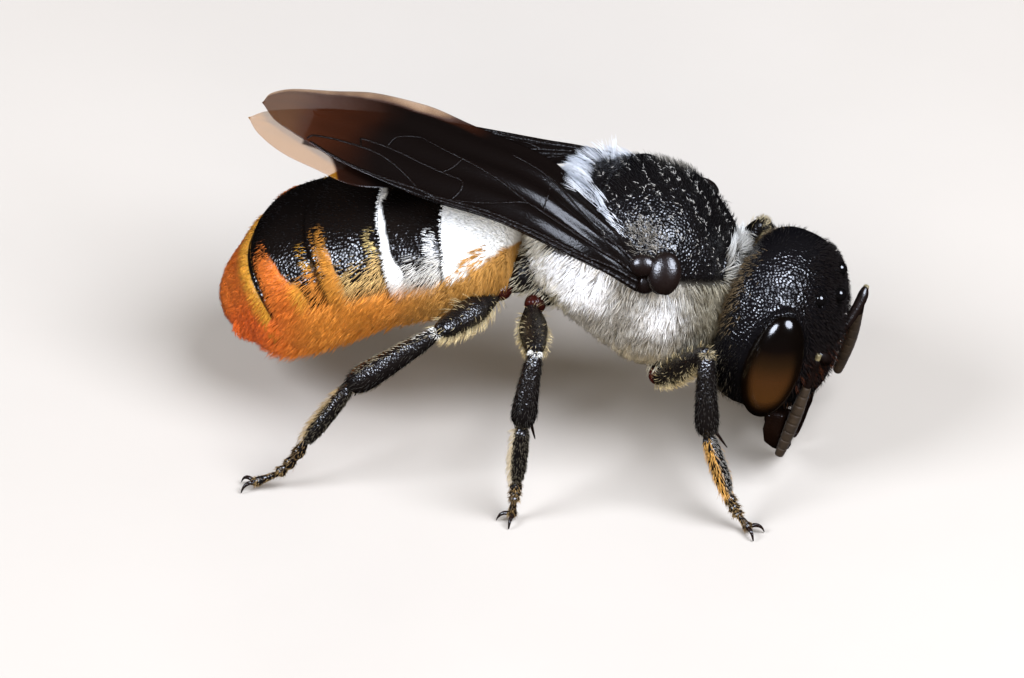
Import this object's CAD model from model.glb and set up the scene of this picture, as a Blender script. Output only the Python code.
"""The looks of a female resin bee at life size: pitted chitin, smoky wings and a coat of single hairs.

Each shape is worked out in millimetres in the bee's own frame, +X forward, +Y her left side and Z = 0
the floor, and set_down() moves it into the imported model's frame, in metres.
"""
import math

import bpy
import numpy as np
from mathutils import Matrix, Vector


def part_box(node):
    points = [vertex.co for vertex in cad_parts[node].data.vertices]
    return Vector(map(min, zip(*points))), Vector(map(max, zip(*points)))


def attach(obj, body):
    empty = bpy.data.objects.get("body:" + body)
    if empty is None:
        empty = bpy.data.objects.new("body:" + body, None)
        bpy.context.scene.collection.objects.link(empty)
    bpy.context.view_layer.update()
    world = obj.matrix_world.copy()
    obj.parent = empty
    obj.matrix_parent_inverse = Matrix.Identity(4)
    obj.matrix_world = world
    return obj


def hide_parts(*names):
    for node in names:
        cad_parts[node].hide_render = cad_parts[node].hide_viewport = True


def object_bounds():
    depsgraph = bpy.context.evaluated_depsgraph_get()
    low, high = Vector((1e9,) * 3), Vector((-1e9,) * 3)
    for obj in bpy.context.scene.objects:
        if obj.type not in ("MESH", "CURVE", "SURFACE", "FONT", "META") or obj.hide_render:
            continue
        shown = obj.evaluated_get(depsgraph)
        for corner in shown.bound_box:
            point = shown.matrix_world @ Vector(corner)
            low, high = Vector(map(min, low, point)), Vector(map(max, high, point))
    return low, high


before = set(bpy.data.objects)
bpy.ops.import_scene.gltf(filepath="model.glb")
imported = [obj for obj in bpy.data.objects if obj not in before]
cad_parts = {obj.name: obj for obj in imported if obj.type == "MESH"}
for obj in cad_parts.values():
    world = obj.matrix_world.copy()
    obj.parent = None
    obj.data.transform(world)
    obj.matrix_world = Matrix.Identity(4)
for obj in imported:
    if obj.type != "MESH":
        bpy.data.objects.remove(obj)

cad_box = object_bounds()

# ---------------------------------------------------------------- floor, lights and camera
# She stands on a sheet of pale paper that runs out of view on every side. Two soft flashes over
# head and tail give the glints; a fill, a rim light and a faint pale studio only lift the shade.


def linear(code):
    """An sRGB hex value as linear red, green, blue and a full alpha."""
    parts = [int(code[k:k + 2], 16) / 255 for k in (1, 3, 5)]
    values = [c / 12.92 if c <= 0.04045 else ((c + 0.055) / 1.055) ** 2.4 for c in parts]
    return (*values, 1.0)


def node(tree, kind, sockets=None, **settings):
    """Adds a shader node with its settings; a socket takes a value or another node's output."""
    made = tree.nodes.new("ShaderNode" + kind)
    for key, value in settings.items():
        setattr(made, key, value)
    for socket, value in (sockets or {}).items():
        if isinstance(value, bpy.types.NodeSocket):
            tree.links.new(value, made.inputs[socket])
        else:
            made.inputs[socket].default_value = value
    return made


def new_material(name):
    """An empty material with its node tree, ready for a shader and an output."""
    made = bpy.data.materials.new(name)
    made.use_nodes = True
    made.node_tree.nodes.clear()
    return made, made.node_tree


# Matt paper, pressed smooth: a very faint mottle and no gloss.
paper, tree = new_material("matt_pale_paper")
where = node(tree, "TexCoord")
mottle = node(tree, "TexNoise", {"Vector": where.outputs["Object"], "Scale": 90.0, "Detail": 4.0})
tone = node(tree, "Mix", {"Factor": mottle.outputs["Fac"], "A": linear("#958e84"), "B": linear("#9e978d")},
            data_type="RGBA")
sheet = node(tree, "BsdfPrincipled", {"Base Color": tone.outputs["Result"], "Roughness": 0.9,
                                      "Specular IOR Level": 0.2})
node(tree, "OutputMaterial", {"Surface": sheet.outputs["BSDF"]})

bpy.ops.object.select_all(action="DESELECT")
bpy.ops.mesh.primitive_plane_add(size=1.6)
floor = bpy.context.object
floor.name = "floor"
floor.data.materials.append(paper)
floor.visible_glossy = False     # the paper lies outside what the black shell mirrors

low, high = (Vector(corner) for corner in cad_box)
middle = (low + high) / 2


def softbox(name, toward, distance, size, power, colour, mirrored=True):
    """A round area light that stands off in one direction and faces the bee. One that isn't
    mirrored only fills the shade, as a wall's bounce does, and puts no glint on the chitin."""
    data = bpy.data.lights.new(name, "AREA")
    data.shape = "DISK"
    data.size = size
    data.energy = power
    data.color = linear(colour)[:3]
    lamp = bpy.data.objects.new(name, data)
    toward = Vector(toward).normalized()
    lamp.location = middle + toward * distance
    lamp.rotation_euler = toward.to_track_quat("Z", "Y").to_euler()
    lamp.visible_glossy = mirrored
    bpy.context.scene.collection.objects.link(lamp)


softbox("flash_over_head", (0.52, -0.22, 0.8), 0.16, 0.115, 0.8, "#e6eeff")
softbox("flash_over_tail", (-0.58, -0.46, 0.67), 0.17, 0.08, 0.46, "#e6eeff")
softbox("front_fill", (0.2, -0.92, 0.25), 0.25, 0.18, 0.62, "#fff6ec", mirrored=False)
softbox("far_rim", (-0.1, 0.88, 0.45), 0.22, 0.16, 0.12, "#ffffff", mirrored=False)

world = bpy.data.worlds.new("pale_studio")
bpy.context.scene.world = world
world.use_nodes = True
world.node_tree.nodes["Background"].inputs["Color"].default_value = linear("#e4dccf")
world.node_tree.nodes["Background"].inputs["Strength"].default_value = 0.16
world.cycles_visibility.glossy = False
bpy.context.scene.view_settings.view_transform = "Standard"

VIEW_SIDE, VIEW_DOWN = math.radians(13), math.radians(36)
VIEW_WIDTH = 23.81 * 0.001      # metres across the view, at the bee
CAMERA_DISTANCE = 0.4
FILM_WIDTH = 36.0
AIM_OFFSET = Vector((-0.48, -0.98, -1.17)) * 0.001      # from the middle of the bee to that of the view
toward_camera = Vector((math.sin(VIEW_SIDE) * math.cos(VIEW_DOWN), -math.cos(VIEW_SIDE) * math.cos(VIEW_DOWN),
                        math.sin(VIEW_DOWN)))
lens = bpy.data.cameras.new("macro_lens")
lens.sensor_width = FILM_WIDTH
lens.lens = FILM_WIDTH * CAMERA_DISTANCE / VIEW_WIDTH
lens.clip_start = 0.01
lens.clip_end = 5.0
camera = bpy.data.objects.new("macro_camera", lens)
camera.location = middle + AIM_OFFSET + toward_camera * CAMERA_DISTANCE
camera.rotation_euler = toward_camera.to_track_quat("Z", "Y").to_euler()
bpy.context.scene.collection.objects.link(camera)
bpy.context.scene.camera = camera

# ---------------------------------------------------------------- thorax: the middle body's shell
# One rigid shell of black chitin in which scutum, scutellum, collar and flanks meet at grooves.
# It is shaped from a sphere, and its flanks lie inside the solid by the depth of their hair.

SUTURE_X = -0.95                # the groove between scutum and scutellum
PLATE_GAP = 0.02                # half the saw cut between the two solids
shift = Vector((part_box("scutum")[0][0] * 1000 - (SUTURE_X + PLATE_GAP), 0, 0))


def set_down(spots):
    """Millimetres in the bee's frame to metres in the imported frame."""
    return (np.asarray(spots) + np.array(shift)) * 0.001


def smooth_curve(*points):
    """A function through pairs of place and value that never overshoots between them."""
    places, values = np.array(points, dtype=float).T
    span = np.diff(places)
    secant = np.diff(values) / span
    before, after = secant[:-1], secant[1:]
    turning = before * after <= 0
    mean = np.where(turning, 0.0, 2 * before * after / np.where(turning, 1.0, before + after))
    slope = np.concatenate((secant[:1], mean, secant[-1:]))

    def value_at(place):
        place = np.clip(place, places[0], places[-1])
        k = np.clip(np.searchsorted(places, place, side="right") - 1, 0, len(span) - 1)
        t = (place - places[k]) / span[k]
        rise = values[k + 1] - values[k]
        start, stop = slope[k] * span[k], slope[k + 1] * span[k]
        return values[k] + t * (start + t * (3 * rise - 2 * start - stop + t * (start + stop - 2 * rise)))

    return value_at


def rounded(t, power):
    """Closes a form at both ends: 0 at t = 0 and 1, and 1 in the middle."""
    return np.clip(1 - np.abs(2 * t - 1) ** power, 0, 1) ** (1 / power)


def squared(value, power):
    """A sine or cosine pushed outwards, which turns an ellipse to a fuller section."""
    return np.sign(value) * np.abs(value) ** power


def ramp(value, start, stop):
    """Rises smoothly from 0 at start to 1 at stop."""
    t = np.clip((value - start) / (stop - start), 0, 1)
    return t * t * (3 - 2 * t)


def hill(value, centre, width):
    """A bell of height 1 round the centre."""
    return np.exp(-((value - centre) / width) ** 2)


def closed_skin(name, surface, sides, rings, material, marks=None):
    """A closed skin: a sphere whose vertices move to surface(station, angle), poles at 0 and 1.
    marks(spots, station, angle) may give the coat's colour there and how thickly it covers."""
    bpy.ops.object.select_all(action="DESELECT")
    bpy.ops.mesh.primitive_uv_sphere_add(segments=sides, ring_count=rings, radius=1.0)
    piece = bpy.context.object
    piece.name = name
    mesh = piece.data
    unit = np.empty(len(mesh.vertices) * 3)
    mesh.vertices.foreach_get("co", unit)
    unit = unit.reshape(-1, 3)
    station, angle = np.arccos(np.clip(unit[:, 2], -1, 1)) / np.pi, np.arctan2(unit[:, 1], unit[:, 0])
    spots = surface(station, angle)
    mesh.vertices.foreach_set("co", set_down(spots).ravel())
    mesh.update()
    if marks:
        colour, cover = marks(spots, station, angle)
        tinted = mesh.color_attributes.new("coat_marks", "FLOAT_COLOR", "POINT")
        tinted.data.foreach_set("color", np.column_stack((colour, cover)).astype(np.float32).ravel())
    mesh.calc_loop_triangles()
    corners = np.empty(len(mesh.loop_triangles) * 3, dtype=int)
    mesh.loop_triangles.foreach_get("vertices", corners)
    a, b, c = (spots[corners.reshape(-1, 3)[:, k]] for k in range(3))
    if np.sum(a * np.cross(b, c)) < 0:
        mesh.flip_normals()
    mesh.shade_smooth()
    mesh.materials.append(material)
    return piece


def settle(piece, slot, *nodes):
    """Rides a piece on the one rigid body, names its finish and the CAD nodes that it stands for."""
    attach(piece, "root")
    if nodes:
        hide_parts(*nodes)
    return piece


def chitin(name, dark, worn, pit, depth, gloss, marked=False, gleam=None):
    """Insect cuticle: near-black, with round pits a few hundredths of a millimetre apart that
    break its gloss into points of light. pit is their spacing and depth their depth, in mm.
    A marked skin also takes the colour of its coat, so that no black shows between the hairs.
    With gleam the whole skin shines alike; without it polished and dull patches take turns.
    Noise scales are cells a metre: a grain of 0.11 mm, worn patches of 1.1, gloss patches of 0.24."""
    made, tree = new_material(name)
    where = node(tree, "TexCoord")
    cells = node(tree, "TexVoronoi", {"Vector": where.outputs["Object"], "Scale": 1000 / pit,
                                      "Randomness": 0.8})
    grain = node(tree, "TexNoise", {"Vector": where.outputs["Object"], "Scale": 9000.0, "Detail": 3.0})
    bowl = node(tree, "Math", {0: cells.outputs["Distance"], 1: 2.0}, operation="POWER")
    height = node(tree, "Math", {0: grain.outputs["Fac"], 1: 0.1, 2: bowl.outputs["Value"]},
                  operation="MULTIPLY_ADD")
    pits = node(tree, "Bump", {"Height": height.outputs["Value"], "Strength": 1.0,
                               "Distance": 4 * depth * 0.001})
    patches = node(tree, "TexNoise", {"Vector": where.outputs["Object"], "Scale": 900.0, "Detail": 2.0})
    colour = node(tree, "Mix", {"Factor": patches.outputs["Fac"], "A": linear(dark), "B": linear(worn)},
                  data_type="RGBA")
    if marked:
        marks = node(tree, "Attribute", attribute_name="coat_marks")
        colour = node(tree, "Mix", {"Factor": marks.outputs["Alpha"], "A": colour.outputs["Result"],
                                    "B": marks.outputs["Color"]}, data_type="RGBA")
    shell = node(tree, "BsdfPrincipled", {"Base Color": colour.outputs["Result"], "Roughness": gloss,
                                          "IOR": 1.5, "Specular IOR Level": gleam or 0.5,
                                          "Normal": pits.outputs["Normal"]})
    if gleam is None:
        clusters = node(tree, "TexNoise", {"Vector": where.outputs["Object"], "Scale": 4200.0,
                                           "Detail": 1.0})
        polish = node(tree, "MapRange", {"Value": clusters.outputs["Fac"], "From Min": 0.42,
                                         "From Max": 0.62, "To Min": 0.15, "To Max": 0.625})
        tree.links.new(polish.outputs["Result"], shell.inputs["Specular IOR Level"])
    if marked:
        shine = node(tree, "MapRange", {"Value": marks.outputs["Alpha"], "To Min": gloss, "To Max": 0.9})
        tree.links.new(shine.outputs["Result"], shell.inputs["Roughness"])
    node(tree, "OutputMaterial", {"Surface": shell.outputs["BSDF"]})
    return made


# Thorax chitin: black with coarse pits about 0.08 mm apart, and a blue-white glint on each rim.
thorax_chitin = chitin("pitted_thorax_chitin", "#050506", "#0e0b0a", 0.075, 0.0058, 0.2, marked=True)

thorax_top = smooth_curve((-2.75, 5.05), (-2.1, 5.95), (-1.3, 6.6), (-0.4, 6.86), (0.9, 6.62), (2.0, 5.72),
                          (2.5, 4.9))
thorax_bottom = smooth_curve((-2.75, 4.25), (-2.1, 3.75), (-1.2, 2.95), (0.3, 2.0), (1.4, 2.1), (2.1, 2.75),
                             (2.5, 3.5))
thorax_width = smooth_curve((-2.75, 0.9), (-2.0, 1.75), (-0.9, 2.2), (0.5, 2.3), (1.7, 1.85), (2.5, 1.1))
scutum_side = smooth_curve((-2.75, 5.2), (-0.95, 5.9), (0.4, 5.75), (1.6, 5.3), (2.5, 4.8))
FLANK_COAT = 0.13               # how far the furred flanks draw in, as a share of the half width


def thorax_surface(station, angle):
    """The middle body as one closed form, with the grooves between its plates let into it."""
    t = 0.5 - 0.5 * np.cos(np.pi * station)
    x = 2.5 - 5.25 * t
    centre = 0.5 * (thorax_top(x) + thorax_bottom(x))
    half = 0.5 * (thorax_top(x) - thorax_bottom(x))
    end = rounded(t, 3.2)
    across = end * squared(np.cos(angle), 0.86)
    upward = end * squared(np.sin(angle), 0.92)
    flank = ramp(scutum_side(x) - centre - half * upward, -0.05, 0.4)
    draw_in = 1 - FLANK_COAT * flank
    y = thorax_width(x) * across * draw_in
    z = centre + half * upward * draw_in
    above = ramp(z, 5.5, 6.0)
    relief = -0.08 * hill(x, SUTURE_X - 0.12 * (y / 1.6) ** 2, 0.05) * above
    relief += 0.09 * hill(x, -1.5, 0.32) * np.exp(-(y / 1.25) ** 4) * above
    relief -= 0.09 * hill(x, -1.98, 0.06) * ramp(z, 4.6, 5.2)
    relief -= 0.02 * hill(y, 0, 0.025) * ramp(x, 0.2, 0.6) * above
    relief -= 0.02 * (hill(y, 0.95, 0.03) + hill(y, -0.95, 0.03)) * hill(x, 0.1, 0.4) * above
    relief -= 0.07 * hill(z, scutum_side(x) - 0.12, 0.06) * ramp(x, -1.0, -0.6) * ramp(x, 2.3, 1.9)
    relief -= 0.07 * hill(x, 1.98, 0.05) * ramp(z, 3.4, 4.2)
    away = np.hypot(y, z - centre) + 1e-6
    return np.stack((x, y + relief * y / away, z + relief * (z - centre) / away), axis=-1)


def mix(first, second, share):
    """Rows of colour from one to the other; either may be a hex value or rows already."""
    first = np.array(linear(first)[:3]) if isinstance(first, str) else first
    second = np.array(linear(second)[:3]) if isinstance(second, str) else second
    share = np.asarray(share)[:, None]
    return first * (1 - share) + second * share


def ripple_of(spots, size):
    """A soft irregular pattern from 0 to 1 with patches about size across."""
    x, y, z = np.asarray(spots).T / size
    slanting = np.sin(2.1 * x + 1.3 * y + 0.7 * z)
    crossing = np.sin(1.7 * z - 1.9 * y + 2.3) * np.sin(2.6 * x + 0.4)
    return 0.5 + 0.25 * (slanting + crossing)


def flank_colour(spots):
    """Flank hair: purest white under the wing and below its scale, greyer between, cream beneath."""
    x, y, z = spots.T
    white = np.maximum(ramp(z, 4.35, 4.85) * ramp(x, 0.0, -0.6), hill(np.hypot(x - 0.85, z - 4.55), 0, 0.5))
    colour = mix("#b9b3a6", "#ffffff", white)
    colour = mix(colour, "#c9b68c", ramp(z, 3.9, 2.9) * 0.75)
    colour = mix(colour, "#8c846c", ramp(x, 0.9, 1.7) * 0.8)
    return mix(colour, "#d6c48c", hill(x, -1.9, 0.45) * hill(z, 4.3, 0.6) * 0.8)


def thorax_marks(spots, station, angle):
    """The flanks' skin takes a share of the colour of their hair; the back stays black."""
    x, y, z = spots.T
    return flank_colour(spots), 0.3 * ramp(scutum_side(x) - z, 0.1, 0.4)


thorax_shell = closed_skin("thorax_shell", thorax_surface, 208, 160, thorax_chitin, thorax_marks)
settle(thorax_shell, "cuticle_black", "scutum", "scutellum", "pronotum", "thorax_trunk", "propodeum")

# ---------------------------------------------------------------- tegulae: the wing-root scales
# A smooth, shiny, dome-shaped shell over each wing root, black with a raised rim, and two small
# plates behind it. Each is a sphere squeezed to three radii and leaned against the thorax.

# Polished chitin: brown-black and nearly without pits, so that it mirrors a lamp as one soft patch.
smooth_chitin = chitin("polished_black_chitin", "#060404", "#160d09", 0.05, 0.0008, 0.26, gleam=0.5)
TEGULA_CENTRES = {"left": (0.92, 1.88, 5.44), "right": (0.88, -1.98, 5.7)}     # her left wing sits lower
TEGULA_RADII = (0.38, 0.22, 0.5)
HINGE_PLACES = ((0.52, 0.14), (0.47, -0.36))    # how far behind and above the scale's centre
HINGE_RADII = (0.3, 0.17, 0.26)


def dome(centre, radii, turn, power=1.0):
    """An ellipsoid with its own axes."""
    turn, centre = np.array(turn), np.array(centre)

    def surface(station, angle):
        ring = squared(np.sin(np.pi * station), power)
        local = np.stack((radii[0] * ring * np.cos(angle), radii[1] * ring * np.sin(angle),
                          radii[2] * np.cos(np.pi * station)), axis=-1)
        return centre + local @ turn.T
    return surface


def join(name, pieces):
    """Makes one piece of several, kept under one name."""
    bpy.ops.object.select_all(action="DESELECT")
    for part in pieces:
        part.select_set(True)
    bpy.context.view_layer.objects.active = pieces[0]
    bpy.ops.object.join()
    pieces[0].name = name
    return pieces[0]


for side, side_name in ((1, "left"), (-1, "right")):
    lean = Matrix.Rotation(side * math.radians(38), 3, "X")
    centre = TEGULA_CENTRES[side_name]
    scale_dome = dome(centre, TEGULA_RADII, lean)

    def tegula_surface(station, angle, scale_dome=scale_dome, centre=centre):
        spots = scale_dome(station, angle)
        rim = hill(np.sin(angle), 0, 0.2) * ramp(station, 0.0, 0.15) * ramp(station, 1.0, 0.85)
        return spots + (spots - np.array(centre)) * (0.05 * rim)[:, None]

    # Behind the scale two smaller hinge plates carry the wing's thick front veins.
    hinges = []
    for back, rise in HINGE_PLACES:
        plate = dome(np.array(centre) + (-back, -0.02 * side, rise), HINGE_RADII, lean)
        hinges.append(closed_skin("hinge_plate", plate, 40, 32, smooth_chitin))
    tegula = closed_skin("wing_scale", tegula_surface, 64, 48, smooth_chitin)
    settle(join("wing_scale_" + side_name, [tegula, *hinges]), "cuticle_black", "tegula_" + side_name)

# ---------------------------------------------------------------- head: the capsule
# A hard black capsule with long cheeks, coarsely pitted, hollow behind where the neck enters.
# It carries the face shield, a rim round each eye, antenna pits and three small seats for eyes.

# Head chitin: the blackest and the most deeply pitted, with its glints above and behind the eye.
head_chitin = chitin("pitted_head_chitin", "#050507", "#0d0b0b", 0.078, 0.0064, 0.18)
HEAD_CENTRE = np.array((3.2, -0.15, 3.3))
HEAD_TURN = np.array(Matrix.Rotation(math.radians(-7), 3, "Z") @ Matrix.Rotation(math.radians(10), 3, "Y")
                     @ Matrix.Rotation(math.radians(-6), 3, "X"))
EYE_RADII = (0.66, 0.55, 1.36)
EYE_CENTRE = (0.42, 1.72, 0.04)
OCELLI = ((1.2, 0.08, 1.33), (0.94, 0.76, 1.56), (0.94, -0.76, 1.56))


def on_head(forward, sideways, up):
    """A place given from the head's centre, in the head's own directions."""
    return HEAD_CENTRE + np.stack((forward, sideways, up), axis=-1) @ HEAD_TURN.T


def eye_turn(side):
    """An eye's own axes: it faces a little forward and its top leans in."""
    return np.array(Matrix.Rotation(side * math.radians(-14), 3, "Z")
                    @ Matrix.Rotation(side * math.radians(5), 3, "X")
                    @ Matrix.Rotation(math.radians(4), 3, "Y"))


def head_surface(station, angle):
    """The capsule as one closed form, narrower at the jaws, with face, pits and eye seats let in."""
    height = squared(np.cos(np.pi * station), 0.9)
    ring = squared(np.sin(np.pi * station), 0.86)
    forward = ring * squared(np.cos(angle), 0.8)
    sideways = ring * squared(np.sin(angle), 0.88)
    jaw = np.maximum(0.0, -height)
    up = height * np.where(height > 0, 2.3, 2.05)
    sideways = sideways * 2.02 * (1 - 0.24 * jaw ** 1.6)
    behind = 1.62 * (1 + 0.2 * jaw - 0.06 * (1 - jaw))
    forward = forward * np.where(forward > 0, 1.38, behind)
    up = up - 0.1 * forward * np.maximum(height, 0)
    front = ramp(forward, 0.0, 0.5)
    back = ramp(-forward, 0.2, 0.9)
    forward = forward + 0.16 * front * hill(sideways, 0, 1.0) * hill(up, -1.1, 0.8)
    forward = forward - 0.12 * jaw
    forward = forward + 0.75 * back * hill(sideways, 0, 1.05) * hill(up, -0.1, 1.35)
    # Face: a ridge between the antenna pits, the pits, and the groove over the face shield.
    forward = forward + 0.05 * front * hill(sideways, 0, 0.09) * hill(up, -0.15, 0.5)
    for side in (1, -1):
        forward = forward - 0.16 * front * hill(np.hypot(sideways - side * 0.47, up + 0.32), 0, 0.16)
        lift = np.stack((forward - EYE_CENTRE[0], sideways - side * EYE_CENTRE[1], up - EYE_CENTRE[2]), -1)
        reach = np.linalg.norm(lift @ eye_turn(side) / np.array(EYE_RADII), axis=-1)
        seat = 0.05 * hill(reach, 1.03, 0.06) - 0.03 * hill(reach, 1.16, 0.05)
        sideways = sideways - side * seat
    forward = forward - 0.04 * front * hill(up, -0.72 + 0.25 * sideways ** 2, 0.05) * hill(sideways, 0, 0.9)
    for place in OCELLI:
        gap = np.sqrt((forward - place[0]) ** 2 + (sideways - place[1]) ** 2 + (up - place[2]) ** 2)
        forward = forward - 0.05 * hill(gap, 0.2, 0.06)
    return on_head(forward, sideways, up)


head_capsule = closed_skin("head_capsule", head_surface, 224, 176, head_chitin)
settle(head_capsule, "cuticle_black", "head")

# ---------------------------------------------------------------- eyes: compound and simple
# Two tall glossy domes of fine six-sided lenses, black above and amber-brown below, and three
# small clear black beads on top of the head. All are domes set into the capsule's seats.

# Corneal lenses 0.03 mm across over dark pigment: glossy as glass, brown only where seen square on.
eye_lens, tree = new_material("glossy_compound_eye")
where = node(tree, "TexCoord")
split = node(tree, "SeparateXYZ", {"Vector": where.outputs["Object"]})
EYE_LOW, EYE_HIGH = (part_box("eye_right")[k][2] for k in (0, 1))
climb = node(tree, "MapRange", {"Value": split.outputs["Z"], "From Min": EYE_LOW, "From Max": EYE_HIGH})
depths = node(tree, "ValToRGB", {"Fac": climb.outputs["Result"]})
stops = depths.color_ramp.elements
stops[0].position, stops[0].color = 0.02, linear("#060302")
stops[1].position, stops[1].color = 1.0, linear("#030303")
EYE_DEPTHS = ((0.1, "#120803"), (0.26, "#36200b"), (0.46, "#2f1b0a"), (0.62, "#1b1006"), (0.76, "#070403"))
for position, code in EYE_DEPTHS:
    stop = stops.new(position)
    stop.color = linear(code)
facets = node(tree, "TexVoronoi", {"Vector": where.outputs["Object"], "Scale": 1000 / 0.03,
                                   "Randomness": 0.1})
lenses = node(tree, "Bump", {"Height": facets.outputs["Distance"], "Strength": 0.25, "Distance": 0.000003},
              invert=True)
rim = node(tree, "Attribute", attribute_name="coat_marks")
pigment = node(tree, "Mix", {"Factor": rim.outputs["Alpha"], "A": depths.outputs["Color"],
                             "B": rim.outputs["Color"]}, data_type="RGBA")
shell = node(tree, "BsdfPrincipled", {"Base Color": pigment.outputs["Result"], "Roughness": 0.13, "IOR": 1.5,
                                      "Specular IOR Level": 0.45, "Normal": lenses.outputs["Normal"]})
node(tree, "OutputMaterial", {"Surface": shell.outputs["BSDF"]})


def eye_marks(spots, station, angle):
    """The lenses look black towards the eye's rim, where they are seen aslant."""
    facing = np.abs(np.sin(np.pi * station) * np.sin(angle))
    return np.broadcast_to(linear("#050302")[:3], spots.shape), 0.92 * ramp(facing, 0.86, 0.56)


for side, side_name in ((1, "left"), (-1, "right")):
    seat = on_head(EYE_CENTRE[0], side * EYE_CENTRE[1], EYE_CENTRE[2])
    lenses_dome = dome(seat, EYE_RADII, HEAD_TURN @ eye_turn(side), 0.94)
    compound_eye = closed_skin("compound_eye_" + side_name, lenses_dome, 72, 64, eye_lens, eye_marks)
    settle(compound_eye, "eye_brown", "eye_" + side_name)

# Simple eyes: clear domes over black, so they show as polished beads.
bead_glass = chitin("polished_bead_chitin", "#050505", "#0a0808", 0.05, 0.0005, 0.07, gleam=0.5)
BEAD_RADIUS = 0.165
for number, place in enumerate(OCELLI):
    bead = closed_skin("simple_eye_%d" % (number + 1), dome(on_head(*place), (BEAD_RADIUS,) * 3, HEAD_TURN),
                       32, 24, bead_glass)
    settle(bead, "eye_brown")

# ---------------------------------------------------------------- jaws, lip and tongue
# Heavy black chitin jaws with a row of teeth on the inner edge, curled round in front of a flat lip,
# with the folded tongue behind. Each jaw is its outline, given a wall and then smoothed.

JAW_OUTLINE = ((1.42, -1.4), (1.46, -1.9), (1.26, -2.34), (0.86, -2.68), (0.4, -2.88), (0.14, -2.9),
               (0.28, -2.7), (0.12, -2.56), (0.28, -2.4), (0.14, -2.26), (0.38, -2.06), (0.68, -1.86),
               (0.92, -1.45))
JAW_WALL = 0.4
# Thick tanned chitin: brown-black and duller than the head, as on jaws, lip, tongue and claws.
horn_brown = chitin("brown_black_horn", "#070403", "#180b05", 0.06, 0.004, 0.25, gleam=0.4)


def limb(start, end, girth, flat=1.0, side=(0, 1, 0), bow=(0, 0, 0), power=3.0):
    """A bar closed at both ends: girth gives its radius along the way, flat squeezes its section."""
    start, end, side, bow = (np.array(value, dtype=float) for value in (start, end, side, bow))
    axis = (end - start) / np.linalg.norm(end - start)
    across = side - axis * np.dot(side, axis)
    across /= np.linalg.norm(across)
    over = np.cross(axis, across)

    def surface(station, angle):
        t = 0.5 - 0.5 * np.cos(np.pi * station)
        radius = girth(t) * rounded(t, power)
        centre = start + np.multiply.outer(t, end - start) + np.multiply.outer(4 * t * (1 - t), bow)
        return (centre + np.multiply.outer(radius * np.cos(angle), across)
                + np.multiply.outer(radius * flat * np.sin(angle), over))
    return surface


def apply_modifier(piece, kind, **settings):
    """Adds one modifier with its settings and applies it."""
    step = piece.modifiers.new(kind.lower(), kind)
    for key, value in settings.items():
        setattr(step, key, value)
    bpy.ops.object.select_all(action="DESELECT")
    bpy.context.view_layer.objects.active = piece
    piece.select_set(True)
    bpy.ops.object.modifier_apply(modifier=step.name)


for side, side_name in ((1, "left"), (-1, "right")):
    bpy.ops.object.select_all(action="DESELECT")
    bpy.ops.mesh.primitive_circle_add(vertices=len(JAW_OUTLINE), radius=1.0, fill_type="NGON")
    jaw = bpy.context.object
    for vert, (out, up) in zip(jaw.data.vertices, JAW_OUTLINE):
        vert.co = (0.0, out * 0.001, up * 0.001)
    apply_modifier(jaw, "SOLIDIFY", thickness=JAW_WALL * 0.001, offset=0.0)
    apply_modifier(jaw, "BEVEL", width=0.00007, segments=2, limit_method="ANGLE", angle_limit=0.7)
    bpy.ops.object.mode_set(mode="EDIT")
    bpy.ops.mesh.select_all(action="SELECT")
    bpy.ops.mesh.quads_convert_to_tris()
    bpy.ops.mesh.subdivide(number_cuts=2)
    bpy.ops.object.mode_set(mode="OBJECT")
    flat = np.empty(len(jaw.data.vertices) * 3)
    jaw.data.vertices.foreach_get("co", flat)
    deep, out, up = flat.reshape(-1, 3).T * 1000
    thin = 0.4 + 0.6 * np.clip(out / 1.2, 0, 1)
    curl = 0.93 - 0.3 * (out / 1.6) ** 2
    ridge = 0.05 * np.sign(deep) * hill(out, 0.95, 0.12) * ramp(up, -2.6, -2.2)
    spots = on_head(curl + deep * thin + ridge, side * out, up)
    jaw.data.vertices.foreach_set("co", set_down(spots).ravel())
    if side < 0:
        jaw.data.flip_normals()
    jaw.data.shade_smooth()
    jaw.data.materials.append(horn_brown)
    jaw.name = "jaw_" + side_name
    settle(jaw, "cuticle_black", "mandible_" + side_name)

lip = closed_skin("upper_lip", limb(on_head(0.56, 0, -1.6), on_head(0.34, 0, -2.42),
                                    lambda t: 0.62 - 0.1 * t, flat=0.3, side=HEAD_TURN[:, 1], power=4.0),
                  40, 32, horn_brown)
settle(lip, "cuticle_black", "labrum")
tongue = closed_skin("folded_tongue", limb(on_head(-0.1, 0, -1.7), on_head(-0.75, 0, -2.2),
                                           lambda t: 0.43 - 0.12 * t, flat=0.8), 32, 24, horn_brown)
settle(tongue, "claw_brown", "proboscis")

# ---------------------------------------------------------------- feelers
# A slim polished shaft, a short elbow joint and ten drums, the first three shiny and the rest
# covered in grey-brown felt. The drums are a tube drawn in at each joint.

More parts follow.
